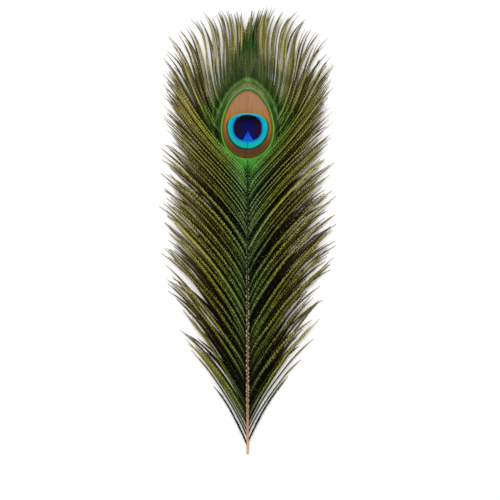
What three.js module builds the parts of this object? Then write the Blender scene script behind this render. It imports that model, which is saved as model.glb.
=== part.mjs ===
// A peacock's tail feather with its eye, trimmed to a hand-and-a-half long, lying face up.
//
// A feather is one grown thing: a shaft that carries a vane on either side. Each vane has two
// parts that behave differently. Below the eye its barbs are loose herl, free of each other. Round
// the eye they are hooked together into a web, and only their outer ends fray into a fringe.
// The single barbs are fibres; each part of a vane is built here as the thin sheet they fill.
//
// Millimetres. +Y runs from the cut end of the shaft to the tip, +Z is up from the surface that
// the feather lies on, and the shaft stands over X = 0.
import * as THREE from 'three';

// ---- shaft ----
const SHAFT_END = 219; // station where the shaft gives out, in the heart of the eye
const SHAFT_STEPS = 36;
const SHAFT_SIDES = 12;
// [station above the cut end, half width]
const SHAFT_TAPER = [
  [0, 0.72],
  [12, 0.86],
  [45, 1.1],
  [100, 1.06],
  [140, 0.82],
  [170, 0.56],
  [200, 0.32],
  [SHAFT_END, 0.16],
];
const BOW_HEIGHT = 8; // how far the shaft arches off the surface
const BOW_PEAK = 130; // station of the top of the arch

// ---- vanes ----
// Key barbs, from the lowest to the last one at the tip: [station of the root, length, then the
// angle away from the shaft at the root, a quarter, half way, three quarters and the tip].
const KEY_BARBS = [
  [5, 50, 22, 26, 31, 37, 44],
  [16, 67, 25, 31, 36, 42, 50],
  [38, 82, 29, 34, 38, 43, 52],
  [64, 89, 32, 36, 39, 44, 54],
  [92, 87, 34, 38, 41, 45, 54],
  [120, 83, 37, 41, 43, 45, 52],
  [146, 81, 41, 43, 43, 43, 49],
  [164, 84, 43, 44, 41, 38, 44],
  [176, 91, 44, 44, 34, 30, 43],
  [185, 95, 45, 40, 20, 19, 46],
  [194, 90, 44, 31, 9, 10, 48],
  [202, 81, 43, 22, 3, 5, 42],
  [210, 73, 38, 13, 0, 3, 32],
  [216, 64.5, 24, 6, 0, 2, 20],
  [220, 59, 4, 2, 1, 1, 8],
];
const LAST_KEY = KEY_BARBS.length - 1;
const WEB_KEY = 7; // the key barb where the hooked web of the eye starts
const FIRST_KEY = { left: 0, right: 0.3 }; // the lowest barb sits higher on the right
const VANE_THICKNESS = 0.8;
const ROOT_GAP = 0.35; // between the shaft and the roots of the barbs
const WEB_GAP = 0.03; // between loose barbs and web, as a share of the step between key barbs
const ROOT_RISE = 0.35; // how high on the shaft's side a barb is rooted, in half widths
const BARB_ARCH = 1.2; // how far a barb bulges over the line from its root to its tip
const BARB_DROOP = 1.6; // power of the droop: 1 falls evenly, more falls near the tip
const FRINGE_TIP_HEIGHT = 2.4; // the tips of the last barbs hang this far off the surface
const BARB_STEPS = 20;
const LOOSE_STEPS = 13;
const WEB_STEPS = 20;

// ---- finishes ----
const SHAFT_HORN = new THREE.MeshStandardMaterial({ color: 0xa9835c, roughness: 0.45, metalness: 0 });
const HERL_OLIVE = new THREE.MeshStandardMaterial({ color: 0x59592a, roughness: 0.5, metalness: 0.2 });
const WEB_GREEN = new THREE.MeshStandardMaterial({ color: 0x4f7f3a, roughness: 0.4, metalness: 0.3 });

// A smooth curve through evenly spaced values; t counts the values from 0.
function through(values, t) {
  const last = values.length - 1;
  const i = Math.min(Math.floor(t), last - 1);
  const f = t - i;
  const at = (k) => values[THREE.MathUtils.clamp(k, 0, last)];
  const [a, b, c, d] = [at(i - 1), at(i), at(i + 1), at(i + 2)];
  return 0.5 * (2 * b + (c - a) * f + (2 * a - 5 * b + 4 * c - d) * f * f + (3 * b - a - 3 * c + d) * f ** 3);
}

function shaftHalfWidth(station) {
  const i = Math.max(SHAFT_TAPER.findIndex(([s]) => s >= station), 1);
  const [[s0, w0], [s1, w1]] = [SHAFT_TAPER[i - 1], SHAFT_TAPER[i]];
  return THREE.MathUtils.lerp(w0, w1, THREE.MathUtils.smoothstep(station, s0, s1));
}

// Height of the shaft's centre line: it lies on the surface at its cut end and arches over it.
function shaftHeight(station) {
  const fromPeak = (station - BOW_PEAK) / BOW_PEAK;
  return shaftHalfWidth(0) + BOW_HEIGHT * (1 - fromPeak ** 2);
}

// The middle of the vane at one point: key counts the key barbs, along runs from root to tip.
// The barb is a curve of the key barb's length that turns through its five angles.
function barbPoint(key, along) {
  const [station, length, ...angles] = KEY_BARBS[0].map((_, column) => through(KEY_BARBS.map((k) => k[column]), key));
  const steps = 24;
  const stride = (along * length) / steps;
  const onShaft = Math.min(station, SHAFT_END);
  const root = new THREE.Vector2(shaftHalfWidth(onShaft) + ROOT_GAP, station);
  for (let i = 0; i < steps; i++) {
    const turn = THREE.MathUtils.degToRad(through(angles, ((i + 0.5) / steps) * along * (angles.length - 1)));
    root.x += stride * Math.sin(turn);
    root.y += stride * Math.cos(turn);
  }
  const rootHeight = shaftHeight(onShaft) + ROOT_RISE * shaftHalfWidth(onShaft);
  const inFringe = THREE.MathUtils.smoothstep(key, WEB_KEY + 1, LAST_KEY);
  const tipHeight = VANE_THICKNESS / 2 + FRINGE_TIP_HEIGHT * inFringe;
  const fall = THREE.MathUtils.lerp(rootHeight, tipHeight, along ** BARB_DROOP);
  return new THREE.Vector3(root.x, root.y, fall + BARB_ARCH * Math.sin(Math.PI * along) * (1 - along));
}

// A round rod, bent along the bow of the shaft, closed at the cut end and at the tip.
function shaftGeometry() {
  const profile = [new THREE.Vector2(0, 0)];
  for (let i = 0; i <= SHAFT_STEPS; i++) {
    const station = (SHAFT_END * i) / SHAFT_STEPS;
    profile.push(new THREE.Vector2(shaftHalfWidth(station), station));
  }
  profile.push(new THREE.Vector2(0, SHAFT_END));
  const rod = new THREE.LatheGeometry(profile, SHAFT_SIDES);
  const at = rod.attributes.position;
  for (let i = 0; i < at.count; i++) {
    const station = at.getY(i);
    at.setZ(i, at.getZ(i) + shaftHeight(station));
  }
  rod.computeVertexNormals();
  return rod;
}

// One part of a vane, from one key barb to another: a thin sheet whose grid follows the barbs.
function vaneGeometry(side, fromKey, toKey, keySteps) {
  const sheet = new THREE.BoxGeometry(1, 1, 1, BARB_STEPS, keySteps, 1);
  const at = sheet.attributes.position;
  for (let i = 0; i < at.count; i++) {
    const along = at.getX(i) + 0.5;
    const key = THREE.MathUtils.lerp(fromKey, toKey, at.getY(i) + 0.5);
    const point = barbPoint(key, along);
    point.z += at.getZ(i) * VANE_THICKNESS;
    at.setXYZ(i, point.x, point.y, point.z);
  }
  if (side === 'left') {
    sheet.scale(-1, 1, 1);
    const order = sheet.index.array;
    for (let i = 0; i < order.length; i += 3) {
      [order[i], order[i + 1]] = [order[i + 1], order[i]];
    }
  }
  sheet.computeVertexNormals();
  return sheet;
}

function named(name, geometry, material) {
  const mesh = new THREE.Mesh(geometry, material);
  mesh.name = name;
  return mesh;
}

const feather = new THREE.Group();
feather.add(named('shaft', shaftGeometry(), SHAFT_HORN));
for (const side of ['left', 'right']) {
  const loose = vaneGeometry(side, FIRST_KEY[side], WEB_KEY - WEB_GAP, LOOSE_STEPS);
  const web = vaneGeometry(side, WEB_KEY + WEB_GAP, LAST_KEY, WEB_STEPS);
  feather.add(named(`${side}_loose_barbs`, loose, HERL_OLIVE));
  feather.add(named(`${side}_eye_web`, web, WEB_GREEN));
}

// The origin is under the middle of the feather, on the surface it lies on.
const reach = new THREE.Box3().setFromObject(feather);
feather.position.set(0, -(reach.min.y + reach.max.y) / 2, -reach.min.z);

export default feather;
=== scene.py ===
import math
from collections import namedtuple
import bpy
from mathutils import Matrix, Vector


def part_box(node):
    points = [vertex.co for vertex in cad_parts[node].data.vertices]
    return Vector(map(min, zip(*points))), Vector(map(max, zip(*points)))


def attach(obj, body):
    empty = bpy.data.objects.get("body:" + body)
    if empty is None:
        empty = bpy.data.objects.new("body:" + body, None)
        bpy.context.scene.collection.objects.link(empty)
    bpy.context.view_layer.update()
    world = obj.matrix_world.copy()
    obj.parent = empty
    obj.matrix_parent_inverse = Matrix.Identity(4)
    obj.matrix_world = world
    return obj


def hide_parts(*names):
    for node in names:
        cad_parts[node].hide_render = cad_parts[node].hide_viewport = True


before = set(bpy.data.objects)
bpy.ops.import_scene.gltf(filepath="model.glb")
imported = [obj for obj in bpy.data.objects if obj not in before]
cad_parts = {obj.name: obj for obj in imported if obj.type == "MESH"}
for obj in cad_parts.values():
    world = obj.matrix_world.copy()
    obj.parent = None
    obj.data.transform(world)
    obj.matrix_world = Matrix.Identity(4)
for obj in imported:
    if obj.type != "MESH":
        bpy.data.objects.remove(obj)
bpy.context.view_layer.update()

from types import SimpleNamespace

import bpy
import numpy as np

# ---- The shaft ------------------------------------------------------------------------------
# The quill and rachis of the feather: one solid tapering rod of horn, grooved underneath and cut
# off square at the thick end. It grew as one piece, arches over the surface and gives out in the
# heart of the eye.

MM = 0.001
CUT_END_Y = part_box("shaft")[0][1]  # stations are counted from the cut end, in millimetres
SHAFT_END = 219
SHAFT_TAPER = [  # station and half width
    (0, 0.72),
    (12, 0.86),
    (45, 1.1),
    (100, 1.06),
    (140, 0.82),
    (170, 0.56),
    (200, 0.32),
    (SHAFT_END, 0.16),
]
BOW_HEIGHT = 8
BOW_PEAK = 130
SHAFT_RINGS = 150
SHAFT_SIDES = 24
GROOVE_DEPTH = 0.28  # of the half width
GROOVE_SPREAD = 0.5  # half angle of the groove, in radians
RIM = 0.8  # the horn wall of the cut end reaches in to this share of its half width
RIM_EDGE = 0.97  # and its outer edge is worn down to this share
PITH_DIMPLE = 0.12
DIMPLE_AT_RIM = 0.7  # of its depth
ROOT_PITCH = 3.1  # from one pale speck between the barb roots to the next
ROOTS_BEGIN = (10, 34)
ROOTS_END = (172, 184)


def smooth_step(x, low, high):
    t = min(max((x - low) / (high - low), 0), 1)
    return t * t * (3 - 2 * t)


def shaft_half_width(station):
    for (s0, w0), (s1, w1) in zip(SHAFT_TAPER, SHAFT_TAPER[1:]):
        if station <= s1:
            return w0 + (w1 - w0) * smooth_step(station, s0, s1)
    return SHAFT_TAPER[-1][1]


def shaft_height(station):
    return shaft_half_width(0) + BOW_HEIGHT * (1 - ((station - BOW_PEAK) / BOW_PEAK) ** 2)


def in_frame(x, station, height):
    return (x * MM, CUT_END_Y + station * MM, height * MM)


def shaft_ring(station, share=1.0, inset=0.0):
    """The points round the shaft at one station: a circle with a groove pressed into its underside."""
    ring = []
    for i in range(SHAFT_SIDES):
        turn = 2 * math.pi * i / SHAFT_SIDES
        from_below = math.remainder(turn - 1.5 * math.pi, 2 * math.pi) / GROOVE_SPREAD
        reach = shaft_half_width(station) * share * (1 - GROOVE_DEPTH * math.exp(-from_below**2))
        x, up = reach * math.cos(turn), reach * math.sin(turn)
        ring.append(in_frame(x, station + inset, shaft_height(station) + up))
    return ring


def shaft_mesh():
    """The dimpled pith and the rim of the cut end, then ring after ring to the tip, closed at both ends."""
    rings = [
        shaft_ring(0, RIM * 0.5, PITH_DIMPLE),
        shaft_ring(0, RIM, PITH_DIMPLE * DIMPLE_AT_RIM),
        shaft_ring(0, RIM_EDGE),
    ]
    rings += [shaft_ring(SHAFT_END * i / SHAFT_RINGS) for i in range(SHAFT_RINGS + 1)]
    points = [p for ring in rings for p in ring]
    faces = []
    for row in range(len(rings) - 1):
        for i in range(SHAFT_SIDES):
            here, there = row * SHAFT_SIDES + i, row * SHAFT_SIDES + (i + 1) % SHAFT_SIDES
            faces.append((here + SHAFT_SIDES, there + SHAFT_SIDES, there, here))
    faces.append(tuple(range(SHAFT_SIDES)))
    faces.append(tuple(reversed(range(len(points) - SHAFT_SIDES, len(points)))))
    mesh = bpy.data.meshes.new("shaft")
    mesh.from_pydata(points, [], faces)
    mesh.validate()
    mesh.shade_smooth()
    return mesh


class Wire:
    """An output of a node. Arithmetic on wires adds the Math nodes that work it out."""

    def __init__(self, tree, socket=None):
        self.tree, self.socket = tree, socket

    def node(self, kind, settings=None, inputs=None, output=0):
        """Adds a node: its settings first, then the values or wires of its inputs, by name or identifier."""
        new = self.tree.nodes.new(kind)
        for name, value in (settings or {}).items():
            if name == "stops":
                while len(new.color_ramp.elements) < len(value):
                    new.color_ramp.elements.new(1)
                for stop, (place, colour) in zip(new.color_ramp.elements, value):
                    stop.position, stop.color = place, colour
            else:
                setattr(new, name, value)
        for name, value in (inputs or {}).items():
            by_identifier = [s for s in new.inputs if s.identifier == name]
            found = by_identifier or [s for s in new.inputs if s.name == name]
            if isinstance(value, Wire):
                self.tree.links.new(value.socket, found[0])
            else:
                found[0].default_value = value
        return Wire(self.tree, new.outputs[output])

    def maths(self, operation, *others):
        values = dict(zip(("Value", "Value_001", "Value_002"), (self, *others)))
        return self.node("ShaderNodeMath", {"operation": operation}, values)

    def vector(self, operation, other, name="Vector_001"):
        values = {"Vector": self, name: other}
        return self.node("ShaderNodeVectorMath", {"operation": operation}, values)

    def __add__(self, other):
        return self.maths("ADD", other)

    __radd__ = __add__

    def __sub__(self, other):
        return self.maths("SUBTRACT", other)

    def __rsub__(self, other):
        return (self * -1).maths("ADD", other)

    def __mul__(self, other):
        return self.maths("MULTIPLY", other)

    __rmul__ = __mul__

    def __truediv__(self, other):
        return self.maths("DIVIDE", other)

    def __pow__(self, other):
        return self.maths("POWER", other)

    def __abs__(self):
        return self.maths("ABSOLUTE")

    def steps(self, low, high):
        """0 below low, 1 above high, smooth between them."""
        values = {"Value": self, "From Min": low, "From Max": high}
        return self.node("ShaderNodeMapRange", {"interpolation_type": "SMOOTHSTEP"}, values)

    def xyz(self):
        return [self.node("ShaderNodeSeparateXYZ", None, {"Vector": self}, i) for i in range(3)]


def triple(start, x, y, z):
    return start.node("ShaderNodeCombineXYZ", None, {"X": x, "Y": y, "Z": z})


def noise(start, place, scale, detail, output=0):
    inputs = {"Vector": place, "Scale": scale, "Detail": detail}
    return start.node("ShaderNodeTexNoise", None, inputs, output)


def noise_along(start, place):
    """Noise that wanders about 0 along a line."""
    return start.node("ShaderNodeTexNoise", {"noise_dimensions": "1D"}, {"W": place}) - 0.5


def ramp(start, stops, place):
    return start.node("ShaderNodeValToRGB", {"stops": stops}, {"Fac": place})


def srgb(red, green, blue):
    """A colour given as it is seen, 0 to 255, as the light that shaders work in."""
    parts = [c / 255 for c in (red, green, blue)]
    return (*[c / 12.92 if c <= 0.04045 else ((c + 0.055) / 1.055) ** 2.4 for c in parts], 1.0)


def blend(factor, first, second):
    """The first colour where the factor is 0, the second where it is 1."""
    settings = {"data_type": "RGBA", "clamp_factor": True}
    inputs = {"Factor_Float": factor, "A_Color": first, "B_Color": second}
    return factor.node("ShaderNodeMix", settings, inputs, 2)


def new_finish(name):
    """An empty material: its Wire and its shader, ready for links."""
    finish = bpy.data.materials.new(name)
    finish.use_nodes = True
    shader = next(n for n in finish.node_tree.nodes if n.type == "BSDF_PRINCIPLED")
    return finish, Wire(finish.node_tree), shader


def feed(shader, name, wire):
    wire.tree.links.new(wire.socket, shader.inputs[name])


def station_of(y):
    """The station above the cut end, in millimetres, of a Y in metres."""
    return (y - CUT_END_Y) / MM


HORN = [  # by station: bare quill, then darker horn, then the colours of the eye
    (0, srgb(200, 162, 130)),
    (14, srgb(170, 130, 98)),
    (36, srgb(120, 85, 62)),
    (60, srgb(98, 72, 48)),
    (95, srgb(56, 48, 26)),
    (122, srgb(28, 32, 12)),
    (150, srgb(7, 16, 6)),
    (176, srgb(6, 40, 18)),
    (185, srgb(12, 84, 48)),
    (188, srgb(56, 40, 24)),
    (192, srgb(44, 36, 22)),
    (193.5, srgb(6, 84, 88)),
    (198, srgb(8, 100, 170)),
    (202, srgb(12, 50, 160)),
    (205, srgb(8, 14, 76)),
    (213, srgb(3, 6, 32)),
    (214.6, srgb(8, 60, 80)),
    (215.4, srgb(120, 84, 44)),
    (219, srgb(150, 108, 72)),
]
HORN_STREAK = srgb(214, 184, 152)
ROOT_SHADOW = srgb(22, 20, 8)
ROOT_SPECKS = (srgb(200, 188, 150), srgb(122, 146, 100))  # by the quill, and further up
PITH = srgb(232, 222, 204)


def shaft_finish():
    finish, start, shader = new_finish("shaft horn")
    place = start.node("ShaderNodeTexCoord", None, None, "Object")
    x, y, _ = place.xyz()
    station = station_of(y)
    horn = ramp(start, [(s / SHAFT_END, colour) for s, colour in HORN], station / SHAFT_END)
    streaks = noise(start, place.vector("MULTIPLY", (1.0, 0.06, 1.0)), 4200.0, 3.0)
    colour = blend(streaks.steps(0.45, 0.7) * 0.3 * (1 - station.steps(40, 120)), horn, HORN_STREAK)
    from_middle = abs(x) / MM

    # Where the barbs stand, both edges are dark with a pale speck between every two roots.
    wander = noise(start, place, 260.0, 2.0)
    half_width = 1.0 - 0.8 * station.steps(100, 215)
    edge = (from_middle / half_width).steps(0.45, 0.7)
    edge = edge * station.steps(*ROOTS_BEGIN) * (1 - station.steps(*ROOTS_END))
    root_row = (station * (2 * math.pi / ROOT_PITCH) + wander * 16.0 + x.maths("SIGN") * 1.2).maths("SINE")
    colour = blend(edge * 0.9, colour, ROOT_SHADOW)
    speck = blend(station.steps(85, 130), *ROOT_SPECKS)
    colour = blend(edge * (root_row + wander * 2.0 - 1.0).steps(0.1, 0.5), colour, speck)
    pith = (1 - station.steps(0.04, 0.16)) * (1 - from_middle.steps(0.45, 0.56))
    colour = blend(pith * 0.7, colour, PITH)
    feed(shader, "Base Color", colour)
    feed(shader, "Roughness", 0.42 + 0.25 * streaks)
    grain = {"Strength": 0.25, "Distance": 0.04 * MM, "Height": streaks}
    feed(shader, "Normal", start.node("ShaderNodeBump", None, grain, "Normal"))
    shader.inputs["Specular IOR Level"].default_value = 0.08
    return finish


def new_piece(name, mesh, finish, slot, *nodes):
    """Puts a finished mesh in the scene in place of the CAD nodes it stands for."""
    piece = bpy.data.objects.new(name, mesh)
    bpy.context.scene.collection.objects.link(piece)
    if finish.name not in mesh.materials:
        mesh.materials.append(finish)
    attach(piece, "root")
    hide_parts(*nodes)
    return piece


new_piece("shaft_rachis", shaft_mesh(), shaft_finish(), "shaft_horn", "shaft")

# ---- The loose herl -------------------------------------------------------------------------
# Below the eye the barbs are free of each other: thin tapering rami of horn that grow from the
# sides of the shaft, fringed on both edges with short flat barbules that give them their width
# and sheen. Some lie low and fill the vane, with painted shade; others gather in strands on top,
# with painted light.

# The barbs are known by a few key ones, from the lowest to the last at the tip: station of the
# root and length in millimetres, then the angle from the shaft at the root, a quarter, half,
# three quarters and the tip, in degrees. The barbs between blend smoothly from one to the next.
KEY_BARBS = [
    (5, 50, 22, 26, 31, 37, 44),
    (16, 67, 25, 31, 36, 42, 50),
    (38, 82, 27, 32, 37, 44, 52),
    (64, 89, 28, 33, 38, 45, 55),
    (92, 87, 29, 34, 41, 47, 55),
    (120, 83, 31, 36, 43, 48, 54),
    (146, 81, 34, 39, 44, 46, 51),
    (164, 84, 40, 43, 41, 40, 45),
    (176, 92, 44, 44, 34, 30, 43),
    (185, 98, 45, 40, 20, 19, 46),
    (194, 94, 44, 31, 9, 10, 46),
    (202, 85, 43, 22, 3, 5, 38),
    (210, 76, 38, 13, 0, 3, 26),
    (216, 66, 24, 6, 0, 2, 16),
    (220, 61, 4, 2, 1, 1, 6),
]
LAST_KEY = len(KEY_BARBS) - 1
WEB_KEY = 7  # from this key on the barbs join the web of the eye
ROOT_DEPTH = 0.25  # a root is sunk this far into the side of the shaft
ROOT_RISE = 0.35
HIDDEN_FROM = (138, 197)  # between these stations the roots climb over the shaft and cover it
ROOT_SWEEP = 0.7  # the first stretch of a barb leaves the shaft at this share of its angle
ROOT_STRETCH = [(0, 0.03), (1, 0.05), (3, 0.14), (7.5, 0.14), (9, 0.07), (14, 0.07)]  # by key
ROOT_OVERLAP = 0.5
BARB_ARCH = 1.2
BARB_DROOP = 1.6
TIP_HEIGHT = 0.4
FRINGE_TIP_HEIGHT = 2.4
GUIDE_STEPS = 56
GUIDE_ROWS_PER_KEY = 8


def through(values, t):
    """A smooth curve through evenly spaced values; t counts them from 0."""
    i = min(int(t), len(values) - 2)
    a, b, c, d = (values[min(max(k, 0), len(values) - 1)] for k in range(i - 1, i + 3))
    f = t - i
    return 0.5 * (2 * b + (c - a) * f + (2 * a - 5 * b + 4 * c - d) * f**2 + (3 * b - a - 3 * c + d) * f**3)


def barb_points(key, side, key_barbs=KEY_BARBS, fringe=(WEB_KEY + 1, LAST_KEY)):
    """The path of one barb over the vane, root to tip, on the side -1 (left) or 1 (right)."""
    station, length, *angles = (through(column, key) for column in zip(*key_barbs))
    on_shaft = min(station, SHAFT_END)
    covering = smooth_step(station, *HIDDEN_FROM)
    x = max(shaft_half_width(on_shaft) - ROOT_DEPTH, 0) * (1 - covering) - ROOT_OVERLAP * covering
    y = station
    stretch = float(np.interp(key, *zip(*ROOT_STRETCH)))
    root_height = shaft_height(on_shaft) + (ROOT_RISE + covering) * shaft_half_width(on_shaft)
    tip_height = TIP_HEIGHT + FRINGE_TIP_HEIGHT * smooth_step(key, *fringe)
    points = []
    for i in range(GUIDE_STEPS + 1):
        along = i / GUIDE_STEPS
        height = root_height + (tip_height - root_height) * along**BARB_DROOP
        height += BARB_ARCH * math.sin(math.pi * along) * (1 - along)
        points.append(in_frame(side * x, y, height))
        turn = math.radians(through(angles, min((i + 0.5) / GUIDE_STEPS, 1) * (len(angles) - 1)))
        turn *= ROOT_SWEEP + (1 - ROOT_SWEEP) * smooth_step(along, 0, stretch)
        x += length / GUIDE_STEPS * math.sin(turn)
        y += length / GUIDE_STEPS * math.cos(turn)
    return points


def guide_sheet(name, rows):
    """The surface that a row of barbs lies in. Its map "lie" holds how far along a barb and which barb."""
    wide = len(rows[0])
    faces = [
        (r * wide + i, r * wide + i + 1, (r + 1) * wide + i + 1, (r + 1) * wide + i)
        for r in range(len(rows) - 1)
        for i in range(wide - 1)
    ]
    mesh = bpy.data.meshes.new(name)
    mesh.from_pydata([p for row in rows for p in row], [], faces)
    lie = mesh.uv_layers.new(name="lie")
    for loop in mesh.loops:
        row, step = divmod(loop.vertex_index, wide)
        lie.uv[loop.index].vector = (step / (wide - 1), row / (len(rows) - 1))
    return mesh


def vane_guide(side):
    count = LAST_KEY * GUIDE_ROWS_PER_KEY
    return guide_sheet("vane", [barb_points(row / GUIDE_ROWS_PER_KEY, side) for row in range(count + 1)])


BARB_ROW_INPUTS = {
    "Guide": "Geometry",
    "Keys": "Float",
    "Side": "Float",
    "Barbs": "Int",
    "First key": "Float",
    "Last key": "Float",
    "Crowding": "Float",
    "Steps": "Int",
    "Shortest": "Float",
    "Low share": "Float",
    "Low reach": "Float",
    "Splay": "Float",
    "Sway": "Float",
    "Lift": "Float",
    "Lift from": "Float",
    "Strands per key": "Float",
    "Bright every": "Float",
    "Gathering": "Float",
    "Gathered from": "Float",
    "Ramus width": "Float",
    "Ribbon width": "Float",
    "Ribbon past web": "Float",
    "Clear of web": "Float",
    "Barbules from": "Float",
    "Barbule length": "Float",
    "Barbule width": "Float",
    "Barbule spacing": "Float",
    "Bare below": "Float",
    "Seed": "Int",
    "Finish": "Material",
}
SURFACE = 0.05 * MM  # nothing dips lower than this over the surface
BEAD_PITCH = 1.75 * MM  # barbules stand in little tufts this far apart
BLADE_TILT = math.radians(32)
BARBULE_LEAN = (0.42, 0.8)  # away from the ramus, in radians
BARBULE_RISE = 0.3
BARBULE_ROLL = 0.6
TUFT_BEND = 0.15  # barbules bend this much more in the middle of a tuft, and less between tufts
SHEET_EDGE = 0.001  # barbs keep this share of a guide's length clear of its ends
KEY_EDGE = 0.01
EYE_STATION = 207.6
WEB_HALF_WIDTH = 19.5
WEB_ABOVE = 31.5
WEB_BELOW = 30
WEB_OFFSET = 2  # the middle of the web lies this far below the middle of the eye


def web_measure(x, y):
    """1 on the rim of the hooked web round the eye, less inside it; x and y in metres."""
    across = x / (WEB_HALF_WIDTH * MM)
    up = station_of(y) - EYE_STATION + WEB_OFFSET
    tall = WEB_BELOW + (WEB_ABOVE - WEB_BELOW) * up.steps(-4, 4)
    return across * across + (up / tall) ** 2


def tuft_turn(run, strand):
    """How far a point is through the tufts, 2 pi for each, by its run along the barb."""
    return run * (2 * math.pi / BEAD_PITCH) * (0.75 + 0.5 * strand)


def chance(given, low, high, salt):
    """A random number for each barb or barbule."""
    ends = {"Min_001": low, "Max_001": high, "Seed": given["Seed"] + salt}
    return given["Seed"].node("FunctionNodeRandomValue", {"data_type": "FLOAT"}, ends, 1)


def note(shape, name, value, domain="POINT"):
    """Notes a number down on the shape, for what is grown on it and for its finish."""
    values = {"Geometry": shape, "Name": name, "Value": value}
    return shape.node("GeometryNodeStoreNamedAttribute", {"data_type": "FLOAT", "domain": domain}, values)


def noted(start, *names, kind="FLOAT"):
    """Wires of what was noted down."""
    settings = {"data_type": kind}
    return [start.node("GeometryNodeInputNamedAttribute", settings, {"Name": name}) for name in names]


def without(shape, selection):
    values = {"Geometry": shape, "Selection": selection}
    return shape.node("GeometryNodeDeleteGeometry", {"domain": "POINT"}, values)


def here(start):
    return start.node("GeometryNodeInputPosition")


def moved(shape, x, y, z):
    values = {"Geometry": shape, "Position": triple(shape, x, y, z)}
    return shape.node("GeometryNodeSetPosition", None, values)


def swept(barbs, profile, girth):
    """A rod or a ribbon along every barb, closed at both ends."""
    values = {"Curve": barbs, "Profile Curve": profile, "Scale": girth, "Fill Caps": True}
    return barbs.node("GeometryNodeCurveToMesh", None, values)


def barb_roots(start, given):
    """One point for each barb, with what makes it differ from its neighbours."""
    row = start.node("GeometryNodePoints", None, {"Count": given["Barbs"]})
    number = start.node("GeometryNodeInputIndex")
    share = ((number + chance(given, 0.2, 0.8, 1)) / given["Barbs"]) ** given["Crowding"]
    row = note(row, "key", given["First key"] + (given["Last key"] - given["First key"]) * share)
    # Low barbs lie lower and are painted in shade; one barb in every few lies on top and is painted lit,
    # noted as shine together with some random.
    row = note(row, "low", chance(given, 0.0, 1.0, 2).maths("LESS_THAN", given["Low share"]))
    row = note(row, "strand", chance(given, 0.0, 1.0, 3))
    on_top = number.maths("MODULO", given["Bright every"]).maths("LESS_THAN", 0.5)
    row = note(row, "shine", 0.5 * on_top + chance(given, 0.0, 0.5, 5))
    (low,) = noted(start, "low")
    reach = chance(given, given["Shortest"], 1.0, 4) * (1 - low * (1 - given["Low reach"]))
    return note(row, "reach", reach)


def laid_barbs(start, given):
    """The paths of the barbs: straight lines laid on the guide, gathered in strands and swaying a little."""
    line = start.node("GeometryNodeCurvePrimitiveLine", None, {"End": (1.0, 0.0, 0.0)})
    line = start.node("GeometryNodeResampleCurve", None, {"Curve": line, "Count": given["Steps"]})
    barbs = {"Points": barb_roots(start, given), "Instance": line}
    barbs = start.node("GeometryNodeInstanceOnPoints", None, barbs)
    barbs = start.node("GeometryNodeRealizeInstances", None, {"Geometry": barbs})
    barbs = note(barbs, "along", start.node("GeometryNodeSplineParameter"))
    along, key, strand, reach, shine, low = noted(start, "along", "key", "strand", "reach", "shine", "low")
    cell = (key + noise_along(start, key * 1.3 + given["Side"] * 7.0) * 0.4) * given["Strands per key"]
    off_middle = (cell - cell.maths("FLOOR") - 0.5) / given["Strands per key"]
    gathered = given["Gathering"] * along.steps(given["Gathered from"], given["Gathered from"] + 0.3)
    gathered = gathered * (1 - 0.3 * along.steps(0.8, 1.0)) * (1 - 0.6 * low)
    splayed = (strand - 0.5) * given["Splay"] * along * along
    lying = key - off_middle * gathered + splayed
    lying = lying.maths("MINIMUM", given["Keys"] - KEY_EDGE).maths("MAXIMUM", KEY_EDGE)
    (lie,) = noted(start, "lie", kind="FLOAT_VECTOR")
    spot = {"Mesh": given["Guide"], "Value": here(start), "Source UV Map": lie}
    on_sheet = along * reach * (1 - 2 * SHEET_EDGE) + SHEET_EDGE
    spot["Sample UV"] = triple(start, on_sheet, lying / given["Keys"], 0.0)
    spot = start.node("GeometryNodeSampleUVSurface", {"data_type": "FLOAT_VECTOR"}, spot)
    sway = noise(start, triple(start, strand * 97.0, along * 2.4, key * 3.0), 1.0, 1.0, "Color")
    sway = sway.vector("SUBTRACT", (0.5, 0.5, 0.5)).vector("MULTIPLY", (1.0, 1.0, 0.3))
    sway = sway.vector("SCALE", given["Sway"] * along, "Scale")
    lift = given["Lift"] * along.steps(given["Lift from"], given["Lift from"] + 0.3)
    lift = lift * (0.2 * strand + 1.0 * shine - 1.3 * low)
    x, y, z = spot.vector("ADD", sway).vector("ADD", triple(start, 0.0, 0.0, lift)).xyz()
    barbs = moved(barbs, x, y, z.maths("MAXIMUM", SURFACE * 5))
    barbs = start.node("GeometryNodeSetCurveNormal", {"mode": "Z_UP"}, {"Curve": barbs})
    barbs = note(barbs, "run", start.node("GeometryNodeSplineParameter", None, None, "Length"))
    x, y, _ = here(start).xyz()
    barbs = note(barbs, "web", web_measure(x, y) + 1.2 * (1 - key.steps(WEB_KEY + 0.3, WEB_KEY + 1.3)))
    (web,) = noted(start, "web")
    return without(barbs, web.maths("LESS_THAN", given["Clear of web"]))


def rami(start, given, barbs):
    """The ramus of each barb, a thin three-sided rod that tapers to nothing."""
    along, web = noted(start, "along", "web")
    rod = start.node("GeometryNodeCurvePrimitiveCircle", None, {"Resolution": 3, "Radius": 1.0})
    girth = given["Ramus width"] * 0.5 * (1 - 0.75 * along) * (0.35 + 0.65 * web.steps(0.2, 0.8))
    return note(swept(barbs, rod, girth), "ramus", 1.0)


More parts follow.
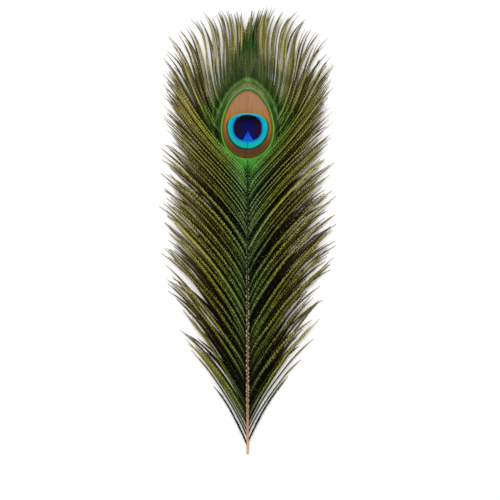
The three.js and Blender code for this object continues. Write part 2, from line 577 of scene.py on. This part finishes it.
def ribbons(start, given, barbs):
    """The barbules that lie together along each barb, as one flat ribbon that laps the next like a tile."""
    along, key, low, web = noted(start, "along", "key", "low", "web")
    tile = start.node("GeometryNodeCurvePrimitiveCircle", None, {"Resolution": 4, "Radius": 1.0})
    x, y, _ = here(start).xyz()
    tile = moved(tile, x, y * 0.06 + x * 0.045 * given["Side"], 0.0)
    tile = note(tile, "out", x * 0.5 * given["Side"] + 0.5)
    girth = given["Ribbon width"] * 0.5 * (0.6 + 0.4 * along.steps(0.0, 0.05))
    girth = girth * (1 - 0.75 * along.steps(0.84, 1.0))
    girth = girth * (1 - (1 - given["Ribbon past web"]) * web.steps(0.9, 1.6))
    girth = girth * (0.85 + 0.15 * key.steps(1.6, 3.4)) * (1 - 0.5 * low * along.steps(0.4, 0.85))
    flat = {"Geometry": note(swept(barbs, tile, girth), "ramus", 0.5), "Shade Smooth": False}
    return start.node("GeometryNodeSetShadeSmooth", None, flat)


def barbule_blade(start):
    """One barbule: a flat twisted blade with four corners, one unit long and wide."""
    blade = {"Vertices": 3, "Radius Bottom": 0.5, "Depth": 1.0}
    blade = start.node("GeometryNodeMeshCone", {"fill_type": "NGON"}, blade)
    corner = start.node("GeometryNodeInputIndex")
    outer = corner.maths("GREATER_THAN", 1.5)
    edge = corner.maths("MODULO", 2.0) - 0.5
    blade = moved(blade, edge * math.cos(BLADE_TILT), edge * math.sin(BLADE_TILT) * (2 * outer - 1), outer)
    return note(blade, "out", here(start).xyz()[2])


def barbules(start, given, barbs):
    """Two rows of blades, one on each edge of the ramus, leaning towards its tip."""
    along, key, strand, shine, web, run = noted(start, "along", "key", "strand", "shine", "web", "run")
    blade = barbule_blade(start)
    seats = {"Curve": barbs, "Length": given["Barbule spacing"]}
    seats = start.node("GeometryNodeCurveToPoints", {"mode": "LENGTH"}, seats)
    tangent = Wire(start.tree, seats.socket.node.outputs["Tangent"])
    outward = tangent.vector("CROSS_PRODUCT", (0.0, 0.0, -1.0))
    seats = without(seats, web.maths("LESS_THAN", given["Barbules from"]))
    bead = (tuft_turn(run, strand) + strand * 40.0).maths("SINE")
    free = 0.4 + 0.6 * (web - given["Barbules from"]).steps(0.0, 0.6)
    rows = []
    for edge in (-1, 1):
        salt = 20 + 10 * edge
        lean = chance(given, *BARBULE_LEAN, salt + 1) + bead * TUFT_BEND
        heading = tangent.vector("SCALE", lean.maths("COSINE"), "Scale")
        heading = heading.vector("ADD", outward.vector("SCALE", lean.maths("SINE") * edge, "Scale"))
        rise = chance(given, -BARBULE_RISE, BARBULE_RISE, salt + 2) + bead * TUFT_BEND
        heading = heading.vector("ADD", triple(start, 0.0, 0.0, rise))
        roll = [chance(given, -BARBULE_ROLL, BARBULE_ROLL, salt + n) for n in (3, 4)]
        axes = {"Primary Axis": heading, "Secondary Axis": triple(start, *roll, 1.0)}
        turned = start.node("FunctionNodeAxesToRotation", {"primary_axis": "Z", "secondary_axis": "Y"}, axes)
        long = given["Barbule length"] * chance(given, 0.7, 1.1, salt + 5)
        long = long * (0.4 + 0.6 * along.steps(0.0, 0.12).maths("MAXIMUM", key.steps(3.5, 5.5)))
        long = long * free * (1 - 0.7 * along.steps(0.82, 1.0)) * (0.8 + 0.2 * bead)
        long = long * (0.55 + 0.45 * shine.steps(0.2, 0.7))
        long = long * (1 - given["Bare below"] * (1 - key.steps(0.4, 2.2)))
        wide = given["Barbule width"] * free * (1 - 0.3 * along.steps(0.8, 1.0))
        blades = {"Points": seats, "Instance": blade, "Rotation": turned}
        blades["Scale"] = triple(start, wide, wide * 0.7, long)
        row = start.node("GeometryNodeInstanceOnPoints", None, blades)
        row = note(row, "shade", chance(given, 0.0, 1.0, salt + 6), "INSTANCE")
        row = note(row, "edge", 0.5 + 0.5 * edge * given["Side"], "INSTANCE")
        rows.append(start.node("GeometryNodeRealizeInstances", None, {"Geometry": row}))
    return rows


def barb_row_tree():
    """Grows a row of barbs on a guide: a ramus, a ribbon and two rows of barbules for each."""
    tree = bpy.data.node_groups.new("row of barbs", "GeometryNodeTree")
    for name, kind in BARB_ROW_INPUTS.items():
        tree.interface.new_socket(name, in_out="INPUT", socket_type="NodeSocket" + kind)
    tree.interface.new_socket("Barbs", in_out="OUTPUT", socket_type="NodeSocketGeometry")
    inlet = tree.nodes.new("NodeGroupInput")
    given = {name: Wire(tree, inlet.outputs[name]) for name in BARB_ROW_INPUTS}
    start = Wire(tree)
    barbs = laid_barbs(start, given)
    whole = tree.nodes.new("GeometryNodeJoinGeometry")
    for part in (rami(start, given, barbs), ribbons(start, given, barbs), *barbules(start, given, barbs)):
        tree.links.new(part.socket, whole.inputs[0])
    whole = start.node("GeometryNodeRealizeInstances", None, {"Geometry": Wire(tree, whole.outputs[0])})
    x, y, z = here(start).xyz()
    whole = moved(whole, x, y, z.maths("MAXIMUM", SURFACE))
    whole = start.node("GeometryNodeSetMaterial", None, {"Geometry": whole, "Material": given["Finish"]})
    outlet = tree.nodes.new("NodeGroupOutput")
    tree.links.new(whole.socket, outlet.inputs[0])
    return tree


def grown(name, guide, tree, sizes):
    """Runs the tree on a guide and gives back the result as a plain mesh."""
    holder = bpy.data.objects.new(name, guide)
    bpy.context.scene.collection.objects.link(holder)
    grow = holder.modifiers.new("grow", "NODES")
    grow.node_group = tree
    sockets = {s.name: s.identifier for s in tree.interface.items_tree if s.in_out == "INPUT"}
    for size, value in sizes.items():
        grow[sockets[size]] = value
    evaluated = holder.evaluated_get(bpy.context.evaluated_depsgraph_get())
    mesh = bpy.data.meshes.new_from_object(evaluated)
    mesh.name = name
    bpy.data.objects.remove(holder)
    return mesh


MAP_MARGIN = 0.01


def press_flat(mesh):
    """A map that shows the mesh as seen from above, filling the square."""
    places = np.empty(len(mesh.vertices) * 3, np.float32)
    mesh.vertices.foreach_get("co", places)
    flat = places.reshape(-1, 3)[:, :2]
    low, high = flat.min(axis=0), flat.max(axis=0)
    corners = np.empty(len(mesh.loops), np.int32)
    mesh.loops.foreach_get("vertex_index", corners)
    spread = mesh.uv_layers.new(name="OFBake")
    places = (flat[corners] - low) / (high - low) * (1 - 2 * MAP_MARGIN) + MAP_MARGIN
    spread.uv.foreach_set("vector", places.astype(np.float32).ravel())


def barb_row(name, guide, sizes, slot, *nodes):
    """Grows one row of barbs and puts it in the scene."""
    mesh = grown(name, guide, row_tree, sizes)
    press_flat(mesh)
    return new_piece(name, mesh, sizes["Finish"], slot, *nodes)


def kept(start, *names):
    """In a finish, the wires of what the row of barbs noted down."""
    return [start.node("ShaderNodeAttribute", {"attribute_name": name}, None, "Fac") for name in names]


def tufts(start):
    """1 on the tufts of barbules along a barb, 0 in the gaps between them: the finishes paint the tufts
    lighter and the gaps in shade.
    """
    strand, run, out = kept(start, "strand", "run", "out")
    past = tuft_turn(run + out * 0.8 * MM, strand)
    uneven = noise_along(start, past * 0.3 + strand * 60.0)
    return (past + strand * 40.0 + uneven * 9.0).maths("SINE").steps(-0.6, 0.4)


# The herl in painted shade, then in painted light; how brightly each point is painted as lit picks between
# them.
HERL_SHADED = [  # from root to tip
    (0.0, srgb(2, 7, 1)),
    (0.3, srgb(3, 3, 0)),
    (0.65, srgb(14, 12, 2)),
    (0.85, srgb(46, 38, 16)),
    (1.0, srgb(96, 82, 50)),
]
HERL_LIT = [
    (0.0, srgb(106, 138, 82)),
    (0.25, srgb(130, 148, 44)),
    (0.6, srgb(166, 158, 58)),
    (1.0, srgb(184, 170, 114)),
]
HERL_TAN = srgb(128, 112, 60)
HERL_DUN = srgb(142, 132, 78)
HERL_GREEN = srgb(122, 152, 96)


def herl_painted_light(start):
    """How brightly each point of the herl is painted as lit, from 0 to 1: painted light and shade, uneven
    from barb to barb and tuft to tuft.
    """
    along, strand, shade, low = kept(start, "along", "strand", "shade", "low")
    edge, ramus, key, shine = kept(start, "edge", "ramus", "key", "shine")
    bead = tufts(start)

    # Painted light and shade: barbs on top are painted lit and low barbs in shade. One edge of a barb
    # carries painted light and the other painted shade, and on one barb in five it is the other edge.
    top = shine.steps(0.1, 1.0) * (1 - low)
    highlight_edge = abs(edge - strand.maths("GREATER_THAN", 0.8))
    body = highlight_edge * (0.6 + 0.4 * shade) + (1 - highlight_edge) * (0.1 + 0.35 * shade)

    # Then by place: painted shade by the shaft and among the lowest barbs, and the tips lighter.
    near = 1 - along.steps(0.0, 0.28)
    down = 1 - key.steps(1.8, 4.2)
    lit = top * body * (0.9 + 0.3 * bead) + (0.1 + 0.2 * highlight_edge) * shade * bead * (1 - low)
    # The rami are painted lit on the barbs on top and in shade on the rest.
    lit = lit + (top * (0.85 + 0.25 * bead) - lit) * ramus.maths("GREATER_THAN", 0.9)
    lit = lit + 0.1 * along.steps(0.5, 1.0) + 0.4 * low * shade.steps(0.8, 1.0)
    lit = lit + 0.2 * shade * bead * near * (1 - low)
    lit = lit * (1 - 0.5 * near * down)
    lit = lit * (0.6 + 0.4 * along.steps(0.02, 0.14).maths("MAXIMUM", key.steps(4, 6)))
    lowest = 0.25 * (1 - key.steps(0.8, 2.4)) * (0.3 + 0.7 * bead) * (1 - low)
    lit = lit + lowest + (0.1 + 0.25 * near) * lit * key.steps(5, 6)
    return lit.steps(0.0, 0.8) * (0.3 + 0.7 * along.steps(0.003, 0.012))


def herl_colour(start, lit):
    """Green by the shaft, olive and gold further out, tan at the tips."""
    along, strand, shade, key = kept(start, "along", "strand", "shade", "key")
    near = 1 - along.steps(0.0, 0.28)
    down = 1 - key.steps(1.8, 4.2)
    dark = ramp(start, HERL_SHADED, along)
    dark = blend(strand * tufts(start) * along.steps(0.5, 0.95) * 0.45, dark, HERL_TAN)
    light = ramp(start, HERL_LIT, along + (shade - 0.5) * 0.4)
    light = blend(near * down * 0.85, light, HERL_DUN)
    light = blend(key.steps(4.6, 6.6) * (1 - along.steps(0.08, 0.3)) * 0.8, light, HERL_GREEN)
    # Painted light picks between the shaded and the lit herl.
    return blend(0.95 * lit, dark, light)


def polish(shader, colour, roughness, metallic, specular):
    """Gives a barb's shader its colour and gloss."""
    feed(shader, "Base Color", colour)
    feed(shader, "Roughness", roughness)
    feed(shader, "Metallic", metallic)
    shader.inputs["Specular IOR Level"].default_value = specular


def herl_finish():
    finish, start, shader = new_finish("loose herl")
    lit = herl_painted_light(start)
    polish(shader, herl_colour(start, lit), 0.6 - 0.15 * lit, 0.3 * lit, 0.02)
    return finish


row_tree = barb_row_tree()
herl = herl_finish()
SIDES = {"left": -1, "right": 1}
# Under the herl every barb lies low and is painted dark, a layer of painted shade under the strands on top.
UNDER_HERL = {
    "Keys": float(LAST_KEY),
    "Barbs": 140,
    "First key": 1.2,
    "Last key": 9.3,
    "Crowding": 0.8,
    "Steps": 18,
    "Shortest": 0.66,
    "Low share": 1.0,
    "Low reach": 0.95,
    "Splay": 0.8,
    "Sway": 2.0 * MM,
    "Lift": 1.3 * MM,
    "Lift from": 0.02,
    "Strands per key": 6.0,
    "Bright every": 2.0,
    "Gathering": 0.0,
    "Gathered from": 0.3,
    "Ramus width": 0.2 * MM,
    "Ribbon width": 2.1 * MM,
    "Ribbon past web": 1.0,
    "Clear of web": 1.1,
    "Barbules from": -1.0,
    "Barbule length": 1.5 * MM,
    "Barbule width": 0.3 * MM,
    "Barbule spacing": 2.4 * MM,
    "Bare below": 0.6,
    "Finish": herl,
}
for side, turn in SIDES.items():
    sizes_here = {**UNDER_HERL, "Side": float(turn), "Seed": 200 + turn}
    barb_row(f"{side}_under_herl", vane_guide(turn), sizes_here, "loose_herl", f"{side}_loose_barbs")

HERL = {
    "Keys": float(LAST_KEY),
    "Steps": 26,
    "Shortest": 0.84,
    "Low share": 0.12,
    "Low reach": 0.93,
    "Splay": 0.3,
    "Sway": 2.4 * MM,
    "Lift": 1.5 * MM,
    "Lift from": 0.02,
    "Strands per key": 5.4,
    "Bright every": 4.0,
    "Gathering": 0.3,
    "Gathered from": 0.05,
    "Ramus width": 0.26 * MM,
    "Ribbon width": 1.1 * MM,
    "Ribbon past web": 1.0,
    "Clear of web": 0.0,
    "Barbules from": -1.0,
    "Barbule length": 1.5 * MM,
    "Barbule width": 0.3 * MM,
    "Barbule spacing": 0.26 * MM,
    "Bare below": 0.2,
    "Finish": herl,
}
LOOSE = {"Splay": 0.6, "Strands per key": 3.4, "Gathering": 0.5}
HERL_ROWS = {
    "lower": {"Barbs": 32, "First key": -0.6, "Last key": 3.5, "Crowding": 0.4, **LOOSE},
    "upper": {"Barbs": 34, "First key": 3.5, "Last key": 6.0, "Crowding": 1.0, "Bright every": 3.0},
}
RIGHT_START = 0.2  # the lowest barb on the right sits this much of a key higher
for number, (row, sizes) in enumerate(HERL_ROWS.items()):
    for side, turn in SIDES.items():
        sizes_here = {**HERL, **sizes, "Side": float(turn), "Seed": 100 + 10 * number + turn}
        if (side, row) == ("right", "lower"):
            sizes_here["First key"] += RIGHT_START
        name = f"{side}_{row}_herl"
        barb_row(name, vane_guide(turn), sizes_here, "loose_herl", f"{side}_loose_barbs")

# ---- The eye web ----------------------------------------------------------------------------
# Round the eye the barbules of each barb hook into the next barb, so the barbs lie as one
# smooth web. Its colours are not dyes: the barbules' layered horn gives rings of green, bronze,
# teal and blue round a near-black heart. Past the rings the barbs come free in a fringe.

EYE_UNIT = 0.63  # the outlines and places in the eye are in units of this many millimetres
Egg = namedtuple("Egg", "half_width middle above below power_above power_below")  # 2 is an ellipse
RING = Egg(26, -4, 41, 30.7, 1.78, 2.1)
ARC = Egg(33.5, -4, 51, 51, 1.68, 1.68)
DISC = Egg(20, -2, 13.6, 21.6, 2.3, 2.05)
HEART = Egg(14.1, -2.5, 12.6, 13.6, 2.1, 2.4)
PLUME_HALF = 20  # half width of the plume at PLUME_FOOT
PLUME_FOOT = 64
PLUME_TAPER = 17  # over this height it thins to about a third
PLUME_LEANS_FROM = 70
NOTCH_TOP = -6.2
NOTCH_SPREAD = 0.52
NOTCH_MIDDLE = 0.3
GAP_SHADE_AND_BROWN = srgb(30, 25, 6)

# The darker colour of a pair comes first, unless its line says otherwise. The pairs from
# WEB_GREEN to ARC_GREEN, and GLOW, are one colour in painted shade and in painted light, picked
# by the light painted on each barb, with some streaks and random tone.
GOLD = (srgb(150, 152, 74), srgb(190, 176, 110))
WEB_GREEN = (srgb(5, 20, 0), srgb(118, 158, 58))
WEB_OLIVE = (srgb(38, 56, 18), srgb(98, 114, 60))
ROOT_GREEN = (srgb(14, 52, 24), srgb(104, 152, 98))
STRIPES = (srgb(3, 22, 6), srgb(116, 168, 80))
PLUME_GREEN = (srgb(2, 32, 6), srgb(38, 104, 32))
PLUME_OLIVE = (srgb(40, 48, 20), srgb(96, 102, 64))
ARC_GREEN = (srgb(76, 122, 48), srgb(142, 184, 100))
BAND_GREEN = srgb(44, 70, 28)
BAND_BRONZE = (srgb(102, 98, 60), srgb(134, 130, 90))
GLOW = (srgb(66, 152, 54), srgb(156, 226, 74))
SEAM = (srgb(9, 24, 7), srgb(6, 70, 40))  # far below the eye, and just below it
BRONZE = (srgb(88, 56, 30), srgb(186, 122, 48))  # low in the eye, and by the top of the disc
BRONZE_TOP = srgb(182, 134, 96)
BRONZE_RIM = srgb(98, 84, 28)
BRONZE_STREAK = srgb(120, 78, 46)
RING_SHADOW = srgb(36, 52, 8)
RING_GREEN = (srgb(110, 184, 70), srgb(146, 202, 70))  # the foot of the ring, and its sides
RING_TOP = srgb(104, 184, 112)
RING_SHADED = srgb(58, 108, 30)
DISC_SHADOW = srgb(6, 44, 30)
DISC_BLUE = (srgb(12, 78, 214), srgb(6, 140, 222))  # next to the heart, and further out
TEAL = srgb(4, 186, 178)
TEAL_TOP = srgb(60, 190, 190)
TEAL_SEAM = srgb(4, 80, 84)
NOTCH_BLUE = (srgb(10, 100, 226), srgb(12, 60, 190))  # low, and high
NAVY = srgb(3, 9, 90)
MAROON = srgb(26, 9, 30)
NEAR_BLACK = srgb(1, 1, 10)
UNDERFACE = srgb(70, 60, 42)
BLACK = srgb(0, 0, 0)
WEB_SHADE = 0.32


def egg_measure(across, up, egg):
    """1 on an egg-shaped outline, less inside it."""
    rise = up - egg.middle
    is_above = rise.maths("GREATER_THAN", 0.0)
    tall = egg.below + (egg.above - egg.below) * is_above
    power = egg.power_below + (egg.power_above - egg.power_below) * is_above
    wide = (abs(across) / egg.half_width).maths("MAXIMUM", 0.0001)
    high = (abs(rise) / tall).maths("MAXIMUM", 0.0001)
    return (wide**power + high**power) ** power.maths("POWER", -1.0)


def place_in_eye(start):
    """Where a point lies in the eye, and how brightly its barb is painted as lit there."""
    at = SimpleNamespace()
    x, y, _ = start.node("ShaderNodeTexCoord", None, None, "Object").xyz()
    at.strand, at.web, at.shade, at.shine = kept(start, "strand", "web", "shade", "shine")
    low, out, ramus, edge = kept(start, "low", "out", "ramus", "edge")
    at.on_web = ramus.maths("COMPARE", 0.5, 0.2)
    uneven = (at.strand - 0.5) * 0.5
    across = x / (EYE_UNIT * MM)
    at.across = across + uneven * 0.4 * across.maths("SIGN")
    at.up = (station_of(y) - EYE_STATION) / EYE_UNIT + uneven
    eggs = (RING, ARC, DISC, HEART)
    at.ring, at.arc, at.disc, at.heart = (egg_measure(at.across, at.up, egg) for egg in eggs)
    fine = triple(start, at.across * 0.8, at.up * 0.04, at.strand * 0.6)
    at.streak = noise(start, fine, 1.0, 2.0).steps(0.3, 0.7)
    at.middle = 1 - abs(at.across).steps(0.3, 1.0)
    # Painted light by barb: barbs on top, their highlight edge and their tufts painted lighter, low barbs
    # and the gaps between tufts painted in shade, with random tone from barbule to barbule.
    highlight_edge = edge + (out.steps(0.4, 0.9) - edge) * at.on_web
    by_barb = at.shine * 0.5 + at.shade * 0.25 * (1 - at.on_web) - 0.25 * low + 0.5 * highlight_edge
    at.by_barb = (by_barb + 0.6 * (tufts(start) - 0.5) * (1 - at.on_web)).steps(0.25, 0.95)
    return at


def fringe_colour(start):
    """The loose ends past the web: olive-gold with some barbs a darker brown, painted lighter on the
    barbs on top, their tufts and one edge, with painted shade as a dark speck between every two
    tufts of barbules.
    """
    strand, shade, edge, shine = kept(start, "strand", "shade", "edge", "shine")
    lit = 0.45 * strand.steps(0.3, 0.7) + 0.8 * (tufts(start) - 0.4) + 0.4 * (shade - 0.5)
    lit = lit + 0.35 * edge + 0.2 * (shine - 0.4)
    return blend(lit.steps(-0.15, 0.85), GAP_SHADE_AND_BROWN, blend(shine.steps(0.1, 0.9), *GOLD))


def plume_over(at, colour):
    """The dark green plume that stands on the eye and thins upwards."""
    half = PLUME_HALF * ((at.up - PLUME_FOOT) / -PLUME_TAPER).maths("EXPONENT")
    across = abs(at.across - (at.up - PLUME_LEANS_FROM).maths("MAXIMUM", 0.0) * 0.22)
    across = across + (at.strand - 0.5) * half * 0.5
    plume = ((half - across) / (3.0 + 0.35 * half)).steps(-1.2, 0.8) * at.up.steps(30, 50)
    # The plume's green is picked by the light painted on each barb and by random tone.
    green = blend((at.by_barb + 0.5 * at.shade + 0.4 * (at.strand - 0.5)).steps(0.1, 1.2), *PLUME_GREEN)
    green = blend(at.up.steps(62, 80), blend(at.by_barb, *PLUME_OLIVE), green)
    return blend(plume * 0.94, colour, green)


def web_over(at, colour):
    """The web outside the rings: green below and beside the eye, olive above it."""
    # Each green is lighter or darker by the light painted on its barb.
    web = blend((at.by_barb + (at.streak - 0.5) * 0.8 * at.on_web).steps(0.0, 1.0), *WEB_GREEN)
    web = blend(at.up.steps(14, 44), web, blend(at.by_barb, *WEB_OLIVE))
    at_root = (1 - abs(at.across).steps(5, 20)) * (1 - at.up.steps(-46, -36))
    web = blend(at_root * 0.85, web, blend(at.by_barb, *ROOT_GREEN))
    return blend(1 - at.web.steps(0.9, 2.8), colour, web)


def arc_over(at, colour):
    """The green arc that rises round the eye, and the dull bronze band inside it."""
    arc = at.arc + (at.strand - 0.5) * 0.02
    arc_line = (1 - abs(arc - 0.965).steps(0.0, 0.075)) * at.up.steps(-6, 14)
    # The arc is lighter or darker by the light painted on its barb.
    colour = blend(arc_line * 0.95, colour, blend(at.by_barb, *ARC_GREEN))
    band = blend(at.up.steps(16, 34), BAND_GREEN, blend(at.streak, *BAND_BRONZE))
    return blend((1 - arc.steps(0.88, 0.93)) * at.up.steps(-16, 4), colour, band)


def stripes_over(at, colour):
    """Stripes of painted light and shade on the barbs by the shaft, a bright green glow under the ring
    whose barbs are also lighter or darker by painted light, and the seam between the vanes.
    """
    by_shaft = 1 - (abs(at.across) - (at.up + 78) * 0.12).steps(1, 14)
    by_shaft = by_shaft * at.up.steps(-105, -60) * (1 - at.up.steps(-30, -20))
    colour = blend(by_shaft * 0.8, colour, blend(at.by_barb * at.shine.steps(0.1, 0.55), *STRIPES))
    below = (1 - at.ring.steps(1.02, 1.46)) * (1 - abs(at.across).steps(4, 17))
    beside = (1 - at.ring.steps(1.02, 1.22)) * 0.5
    glow = below.maths("MAXIMUM", beside) * (1 - at.up.steps(-28, -8))
    colour = blend(glow, colour, blend(at.by_barb, *GLOW))
    seam = blend(at.up.steps(-62, -50), *SEAM)
    return blend(at.middle * (1 - at.up.steps(-36, -34)) * 0.8, colour, seam)


def ring_over(at, colour):
    """The bronze ground of the eye and the thin bright ring round it."""
    bronze = blend(at.up.steps(-26, 6), *BRONZE)
    bronze = blend(at.up.steps(6, 20), bronze, BRONZE_TOP)
    bronze = blend(at.ring.steps(0.84, 0.97) * 0.6, bronze, BRONZE_RIM)
    bronze = blend(at.streak * 0.32, bronze, BRONZE_STREAK)
    colour = blend(1 - at.ring.steps(0.95, 0.985), colour, bronze)
    colour = blend((1 - abs(at.ring - 0.955).steps(0.01, 0.035)) * 0.7, colour, RING_SHADOW)
    green = blend(at.up.steps(-34, 0), *RING_GREEN)
    green = blend(at.up.steps(2, 30), green, RING_TOP)
    # Barbs painted in shade darken the ring.
    green = blend((1 - at.by_barb) * 0.5, green, RING_SHADED)
    return blend((1 - abs(at.ring - 1.0).steps(0.01, 0.05)) * 0.95, colour, green)


def disc_over(at, colour):
    """The teal disc, blue next to the heart, with the seam showing at its foot."""
    shadow = (1 - at.disc.steps(1.02, 1.1)) * (1 - at.up.steps(2, 9) * 0.8)
    colour = blend(shadow, colour, DISC_SHADOW)
    teal = blend(at.heart.steps(0.99, 1.08), *DISC_BLUE)
    teal = blend(at.heart.steps(1.06, 1.22), teal, TEAL)
    teal = blend(at.up.steps(7, 11), teal, TEAL_TOP)
    colour = blend(1 - at.disc.steps(0.98, 1.02), colour, teal)
    seam = at.middle * at.up.steps(-26, -24) * (1 - at.up.steps(-19, -14))
    return blend(seam * 0.6, colour, TEAL_SEAM)


def heart_over(at, colour):
    """The near-black heart of the eye, notched from below with blue."""
    beside_notch = abs(at.across - NOTCH_MIDDLE) - (NOTCH_TOP - at.up) * NOTCH_SPREAD
    inside = ((1 - at.heart) * HEART.half_width).maths("SMOOTH_MIN", beside_notch, 3.0).steps(-0.4, 0.5)
    navy = blend(abs(at.across).steps(2, 11), NAVY, MAROON)
    navy = blend(at.up.steps(-2, 8), navy, NEAR_BLACK)
    blue = blend(at.up.steps(-15, -6), *NOTCH_BLUE)
    colour = blend((1 - at.heart.steps(0.95, 1.05)) * 0.85, colour, blue)
    return blend(inside, colour, navy)


def eye_colour(start, loose):
    """The eye, laid over the colour of the loose barbs from the outside in."""
    at = place_in_eye(start)
    colour = blend(at.up.steps(8, 46), loose, fringe_colour(start))
    for over in (plume_over, web_over, arc_over, stripes_over, ring_over, disc_over, heart_over):
        colour = over(at, colour)

    # The web lies flatter to the light than the loose barbules and catches more of it, so its colour is
    # darkened by a painted shade.
    return blend(at.on_web * WEB_SHADE, colour, BLACK)


def polish_web(shader, colour, lit):
    polish(shader, colour, 0.6 - 0.1 * lit, 0.1 + 0.15 * lit, 0.04)


def eye_finish():
    finish, start, shader = new_finish("eye web")
    lit = herl_painted_light(start)
    colour = eye_colour(start, herl_colour(start, lit))
    facing = start.node("ShaderNodeNewGeometry", None, None, "True Normal").xyz()[2]
    colour = blend(facing.maths("LESS_THAN", -0.05) * 0.7, colour, UNDERFACE)
    polish_web(shader, colour, lit)
    return finish


eye = eye_finish()

# The finer barbs just below the eye are still loose, but green already.
FINE = {
    "Barbs": 37,
    "First key": 5.6,
    "Last key": 7.9,
    "Crowding": 1.0,
    "Bright every": 3.0,
    "Splay": 0.15,
    "Ribbon width": 0.6 * MM,
    "Barbule length": 0.8 * MM,
    "Barbule spacing": 0.34 * MM,
    "Finish": eye,
}
for side, turn in SIDES.items():
    sizes_here = {**HERL, **FINE, "Side": float(turn), "Seed": 120 + turn}
    barb_row(f"{side}_fine_herl", vane_guide(turn), sizes_here, "loose_herl", f"{side}_loose_barbs")

EYE = {
    "Keys": float(LAST_KEY),
    "Barbs": 58,
    "First key": 7.0,
    "Crowding": 1.0,
    "Steps": 44,
    "Shortest": 0.9,
    "Low share": 0.25,
    "Low reach": 0.95,
    "Splay": 0.8,
    "Sway": 3.8 * MM,
    "Lift": 1.2 * MM,
    "Lift from": 0.48,
    "Strands per key": 3.9,
    "Bright every": 2.0,
    "Gathering": 0.6,
    "Gathered from": 0.46,
    "Ramus width": 0.14 * MM,
    "Ribbon width": 2.4 * MM,
    "Ribbon past web": 0.42,
    "Clear of web": 0.0,
    "Barbules from": 0.76,
    "Barbule length": 0.55 * MM,
    "Barbule width": 0.28 * MM,
    "Barbule spacing": 0.34 * MM,
    "Bare below": 0.0,
    "Finish": eye,
}
EYE_LAST_KEY = {"left": LAST_KEY - 0.45, "right": float(LAST_KEY)}  # the right vane closes the top
for side, turn in SIDES.items():
    sizes_here = {**EYE, "Last key": EYE_LAST_KEY[side], "Side": float(turn), "Seed": 300 + turn}
    barb_row(f"{side}_eye_barbs", vane_guide(turn), sizes_here, "eye_barbs", f"{side}_eye_web")

# ---- The crown ------------------------------------------------------------------------------
# The last barbs grow from the very tip of the shaft, straight on over the eye. They stay dark
# green and lean together into one pointed plume in the notch between the two halves of the fringe.

CROWN_BARBS = [
    (213, 36, -24, -13, -6, 3, 12),
    (216, 48, -14, -8, -2, 5, 12),
    (218, 62, -5, -2, 2, 6, 12),
    (218, 62, 3, 2, 2, 5, 10),
    (216, 52, 12, 8, 2, 2, 6),
    (213, 40, 24, 16, 6, 0, -4),
]
CROWN_KEYS = len(CROWN_BARBS) - 1
CROWN_RAISED = (-1, 0)  # every barb of the crown ends as high as the fringe
CROWN_GREEN = (srgb(16, 40, 10), srgb(84, 122, 60))
CROWN_TIP = srgb(112, 120, 62)


def crown_guide():
    count = CROWN_KEYS * GUIDE_ROWS_PER_KEY
    keys = [row / GUIDE_ROWS_PER_KEY for row in range(count + 1)]
    return guide_sheet("crown", [barb_points(key, 1, CROWN_BARBS, CROWN_RAISED) for key in keys])


def crown_finish():
    finish, start, shader = new_finish("crown")
    lit = herl_painted_light(start)
    along, strand, shade = kept(start, "along", "strand", "shade")
    green = blend((strand * 0.5 + shade * 0.6).steps(0.2, 1.0), *CROWN_GREEN)
    tips = blend(along.steps(0.9, 1.0) * 0.5, green, CROWN_TIP)
    polish_web(shader, eye_colour(start, tips), lit)
    return finish


CROWN = {
    "Keys": float(CROWN_KEYS),
    "Barbs": 46,
    "First key": 0.0,
    "Last key": float(CROWN_KEYS),
    "Steps": 30,
    "Shortest": 0.84,
    "Splay": 0.7,
    "Lift": 0.8 * MM,
    "Lift from": 0.5,
    "Strands per key": 1.5,
    "Gathering": 0.3,
    "Finish": crown_finish(),
    "Side": 1.0,
    "Seed": 400,
}
barb_row("crown_barbs", crown_guide(), {**EYE, **CROWN}, "eye_barbs", "left_eye_web", "right_eye_web")

# ---- The surface, the light and the camera --------------------------------------------------
# A plain white surface, soft light from all over with a large lamp above, and a camera that
# looks straight down with the tip of the feather at the top of the picture.

SEEN_WIDTH = 315 * MM
SEEN_HEIGHT = 5 * MM  # the height at which the picture is this wide
SENSOR_WIDTH = 36
CAMERA_HEIGHT = 1.3
CAMERA_X = 1.5 * MM
CAMERA_Y = -11.2 * MM
FLOOR_HALF = 4
LAMP_X, LAMP_Y, LAMP_HEIGHT = -0.15, 0.45, 1.1

corners = [(-1, -1), (1, -1), (1, 1), (-1, 1)]
corners = [(x * FLOOR_HALF, y * FLOOR_HALF, 0) for x, y in corners]
floor_mesh = bpy.data.meshes.new("floor")
floor_mesh.from_pydata(corners, [], [(0, 1, 2, 3)])
floor = bpy.data.objects.new("floor", floor_mesh)
bpy.context.scene.collection.objects.link(floor)
paper, _, shader = new_finish("white surface")
shader.inputs["Base Color"].default_value = srgb(244, 244, 244)
shader.inputs["Roughness"].default_value = 0.9
floor_mesh.materials.append(paper)

world = bpy.data.worlds.new("soft light")
bpy.context.scene.world = world
world.use_nodes = True
world.node_tree.nodes["Background"].inputs["Color"].default_value = (1.0, 1.0, 1.0, 1.0)
world.node_tree.nodes["Background"].inputs["Strength"].default_value = 0.75

lamp = bpy.data.lights.new("lamp", "AREA")
lamp.size = 0.7
lamp.energy = 9.0
lamp_holder = bpy.data.objects.new("lamp", lamp)
lamp_holder.location = (LAMP_X, LAMP_Y, LAMP_HEIGHT)
lamp_holder.rotation_euler = (-math.atan2(LAMP_Y, LAMP_HEIGHT), math.atan2(LAMP_X, LAMP_HEIGHT), 0)
bpy.context.scene.collection.objects.link(lamp_holder)

lens = bpy.data.cameras.new("camera")
lens.sensor_width = SENSOR_WIDTH
lens.lens = SENSOR_WIDTH * (CAMERA_HEIGHT - SEEN_HEIGHT) / SEEN_WIDTH
camera = bpy.data.objects.new("camera", lens)
camera.location = (CAMERA_X, CAMERA_Y, CAMERA_HEIGHT)
bpy.context.scene.collection.objects.link(camera)
bpy.context.scene.camera = camera
bpy.context.scene.view_settings.view_transform = "Standard"
